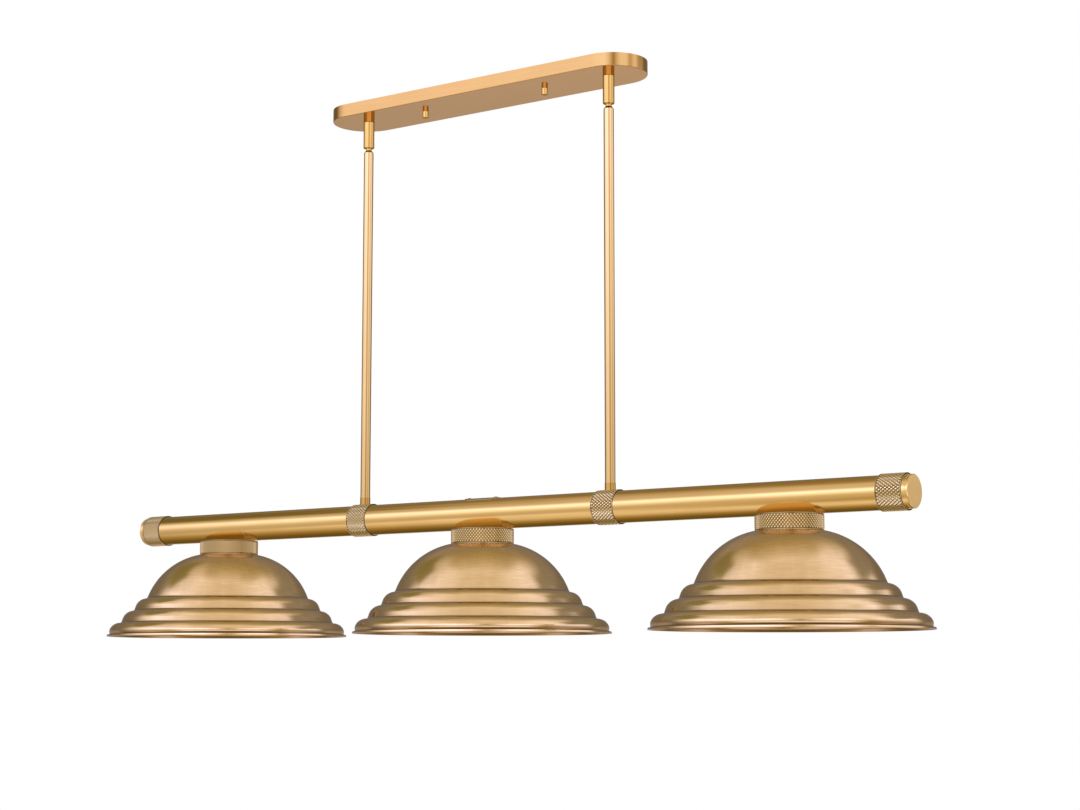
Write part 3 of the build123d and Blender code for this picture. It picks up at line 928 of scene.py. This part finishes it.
bpy.ops.mesh.primitive_uv_sphere_add(
    segments=tent_segments, ring_count=tent_rings, radius=tent_radius, location=tent_centre
)
tent = bpy.context.object
tent.name = "studio_tent"
tent_cloth = bpy.data.materials.new("tent_cloth")
tent_cloth.use_nodes = True
tree = tent_cloth.node_tree
tree.nodes.remove(tree.nodes["Principled BSDF"])
spot = add_node(tree, "TexCoord").outputs["Object"]
facing = add_node(tree, "VectorMath", {0: spot}, operation="NORMALIZE").outputs[0]
rise = add_node(tree, "SeparateXYZ", {0: facing}).outputs["Z"]
azimuth = radians(front_azimuth)
nearer = add_node(
    tree, "VectorMath", {0: facing, 1: (sin(azimuth), -cos(azimuth), 0)}, operation="DOT_PRODUCT"
).outputs["Value"]
aside = add_node(
    tree, "VectorMath", {0: facing, 1: (cos(azimuth), sin(azimuth), 0)}, operation="DOT_PRODUCT"
).outputs["Value"]
turn = add_node(tree, "Math", {0: aside, 1: nearer}, operation="ARCTAN2").outputs[0]
turn = add_node(tree, "Math", {0: turn}, operation="DEGREES").outputs[0]
away = add_node(tree, "Math", {0: turn}, operation="ABSOLUTE").outputs[0]


def level_ramp(tree, position, levels, span):
    """The level at a position, on a ramp through those levels, each at its place in the span."""
    low, high = span
    top = max(level for place, level in levels)
    share = add_node(tree, "MapRange", {"Value": position, "From Min": low, "From Max": high}).outputs[0]
    ramp = add_node(tree, "ValToRGB", {0: share})
    stops = ramp.color_ramp.elements
    while len(stops) < len(levels):
        stops.new(0.5)
    for stop, (place, level) in zip(stops, levels):
        stop.position = (place - low) / (high - low)
        stop.color = (level / top, level / top, level / top, 1)
    return add_node(tree, "Math", {0: ramp.outputs[0], 1: top}, operation="MULTIPLY").outputs[0]


def blend_in(tree, level, other, position, span):
    """The level, which gives way to another smoothly as the position goes through the span."""
    start, end = span
    ease = {"Value": position, "From Min": start, "From Max": end}
    share = add_node(tree, "MapRange", ease, interpolation_type="SMOOTHSTEP").outputs[0]
    return add_node(tree, "Mix", {0: share, 2: level, 3: other}).outputs[0]


def behind_left_flag(tree, plain, flagged):
    """The plain value, with another in the directions that the left flag covers."""
    inside = blend_in(tree, plain, flagged, turn, left_flag_near)
    inside = blend_in(tree, inside, plain, turn, left_flag_far)
    inside = blend_in(tree, plain, inside, rise, left_flag_foot)
    return blend_in(tree, inside, plain, rise, left_flag_top)


def colour_share(tree, level, front, side):
    """Green's or blue's share of the light at a level, from its slope and start at the front and side."""
    shares = []
    for slope, start in (front, side):
        share = add_node(tree, "Math", {0: level, 1: slope, 2: start}, operation="MULTIPLY_ADD")
        shares.append(share.outputs[0])
    at_front, at_side = shares
    at_side = blend_in(tree, at_front, at_side, away, side_turn)
    at_side = blend_in(tree, at_side, at_front, rise, side_top)
    return blend_in(tree, at_front, at_side, rise, side_foot)


wall = level_ramp(tree, turn, wall_levels, full_turn)
height = level_ramp(tree, rise, rise_levels, full_rise)
level = add_node(tree, "Math", {0: wall, 1: height}, operation="MULTIPLY").outputs[0]
level = blend_in(tree, level, level_ramp(tree, rise, back_levels, full_rise), away, back_turn)
apron = blend_in(tree, level, apron_level, nearer, apron_nearness)
level = blend_in(tree, level, apron, rise, apron_rise)
flag = blend_in(tree, level, right_flag_level, turn, right_flag_turn)
level = blend_in(tree, level, flag, rise, right_flag_rise)
high = level_ramp(tree, turn, high_levels, full_turn)
flag = blend_in(tree, high, right_flag_level, turn, right_flag_high_turn)
high = blend_in(tree, flag, high, rise, right_flag_top)
level = blend_in(tree, level, high, rise, high_rise)
level = blend_in(tree, level, level_ramp(tree, nearer, crown_levels, full_rise), rise, crown_rise)
level = blend_in(tree, level, level_ramp(tree, nearer, ground_levels, full_rise), rise, ground_rise)
level = behind_left_flag(tree, level, left_flag_level)
green_share = colour_share(tree, level, front_green, side_green)
blue_share = colour_share(tree, level, front_blue, side_blue)
blue_share = behind_left_flag(tree, blue_share, left_flag_blue)
green = add_node(tree, "Math", {0: level, 1: green_share}, operation="MULTIPLY").outputs[0]
blue = add_node(tree, "Math", {0: level, 1: blue_share}, operation="MULTIPLY").outputs[0]
glow = add_node(tree, "CombineColor", {0: level, 1: green, 2: blue}).outputs[0]
emission = add_node(tree, "Emission", {"Color": glow, "Strength": 1})
tree.links.new(emission.outputs[0], tree.nodes["Material Output"].inputs["Surface"])
tent_cloth.cycles.emission_sampling = "NONE"
tent.data.materials.append(tent_cloth)
tent.visible_camera = False
tent.visible_diffuse = False
tent.visible_transmission = False
tent.visible_volume_scatter = False
tent.visible_shadow = False

# Soft boxes: two large lamps at the front, a key at the left and a fill at the right.
# They light the matt surfaces and cast the soft shadow on the floor.
box_size = 2.4
box_aim = (0, 0, -0.8)

for name, place, power in (
    ("key_box", (-2.2, -2.6, 1.8), 130),
    ("fill_box", (2.8, -1.6, 1.4), 70),
):
    lamp = bpy.data.lights.new(name, "AREA")
    lamp.size = box_size
    lamp.energy = power
    box = bpy.data.objects.new(name, lamp)
    box.location = place
    box.rotation_euler = (Vector(box_aim) - box.location).to_track_quat("-Z", "Y").to_euler()
    box.visible_glossy = False
    bpy.context.scene.collection.objects.link(box)

# White backdrop: the world beyond the floor and the tent.
# It is white to the camera, to reflections and through glass, and grey as a light.
world_light = 0.55

world = bpy.data.worlds.new("studio")
bpy.context.scene.world = world
world.use_nodes = True
tree = world.node_tree
light_path = add_node(tree, "LightPath").outputs
seen = add_node(
    tree, "Math", {0: light_path["Is Camera Ray"], 1: light_path["Is Glossy Ray"]}, operation="MAXIMUM"
).outputs[0]
seen = add_node(
    tree, "Math", {0: seen, 1: light_path["Is Transmission Ray"]}, operation="MAXIMUM"
).outputs[0]
strength = add_node(tree, "MapRange", {"Value": seen, "To Min": world_light, "To Max": 1}).outputs[0]
tree.links.new(strength, tree.nodes["Background"].inputs["Strength"])
tree.nodes["Background"].inputs["Color"].default_value = (1, 1, 1, 1)

# Camera: the photograph's standpoint, right of the middle and a little below the shades' rims.
# Its place, direction and lens were fitted to the tube, the rods, the canopy and the shades.
camera_place = (2.0025, -2.6407, -0.9327)
camera_towards = (-0.5777, 0.8067, 0.1246)
camera_lens = 70.17
camera_sensor = 36

camera = bpy.data.objects.new("camera", bpy.data.cameras.new("camera"))
camera.data.lens = camera_lens
camera.data.sensor_width = camera_sensor
camera.data.sensor_fit = "HORIZONTAL"
camera.location = camera_place
camera.rotation_euler = Vector(camera_towards).to_track_quat("-Z", "Y").to_euler()
bpy.context.scene.collection.objects.link(camera)
bpy.context.scene.camera = camera
bpy.context.scene.view_settings.view_transform = "Standard"
